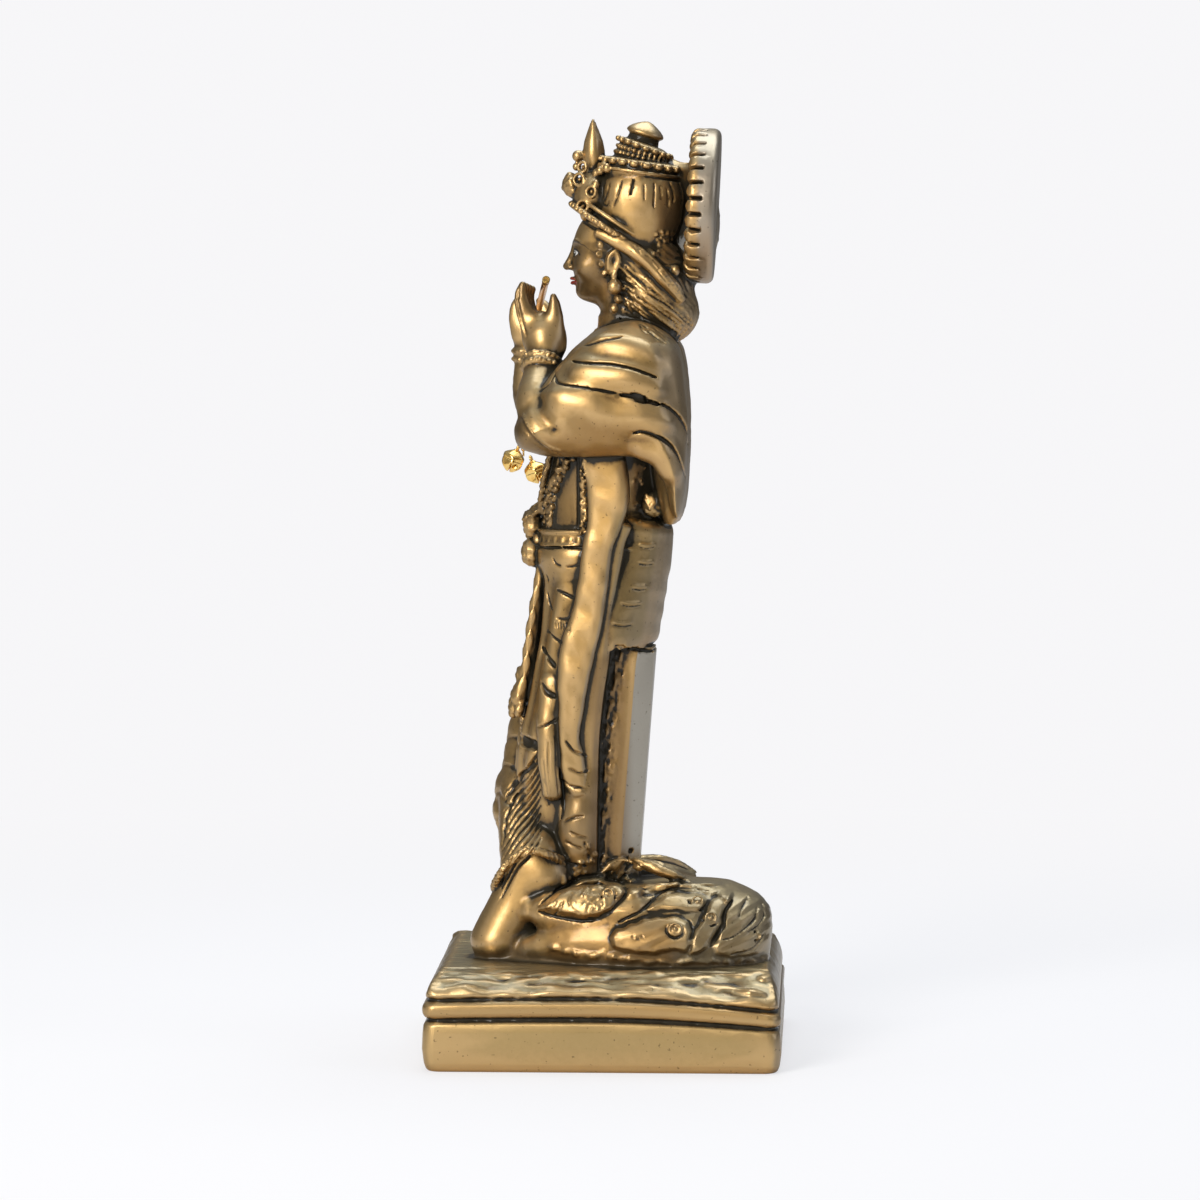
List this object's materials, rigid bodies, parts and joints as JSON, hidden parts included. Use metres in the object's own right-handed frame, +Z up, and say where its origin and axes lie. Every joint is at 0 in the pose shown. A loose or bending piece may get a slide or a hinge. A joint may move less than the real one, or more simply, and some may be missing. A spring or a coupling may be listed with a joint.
{
  "type": "krishna statue",
  "caption": "Standing flute-playing deity figurine with crown, halo disc, draped shawl and feathers on a square moulded plinth, antique bronze finish.",
  "frame": {"origin": "centre of the plinth's underside", "axes": "+Z up; the figure looks along -Y; +X is the figure's left side"},
  "size_m": [0.1144, 0.1064, 0.28],
  "materials": {
    "bronze": "glossy antique bronze paint with black in the recesses, over cast resin",
    "gold": "polished yellow gold plate",
    "thread": "twisted gold-coloured thread"
  },
  "bodies": {
    "root": {"statue": "bronze", "flute": "gold", "thread": "thread", "bell_front": "gold", "bell_back": "gold"}
  },
  "joints": []
}
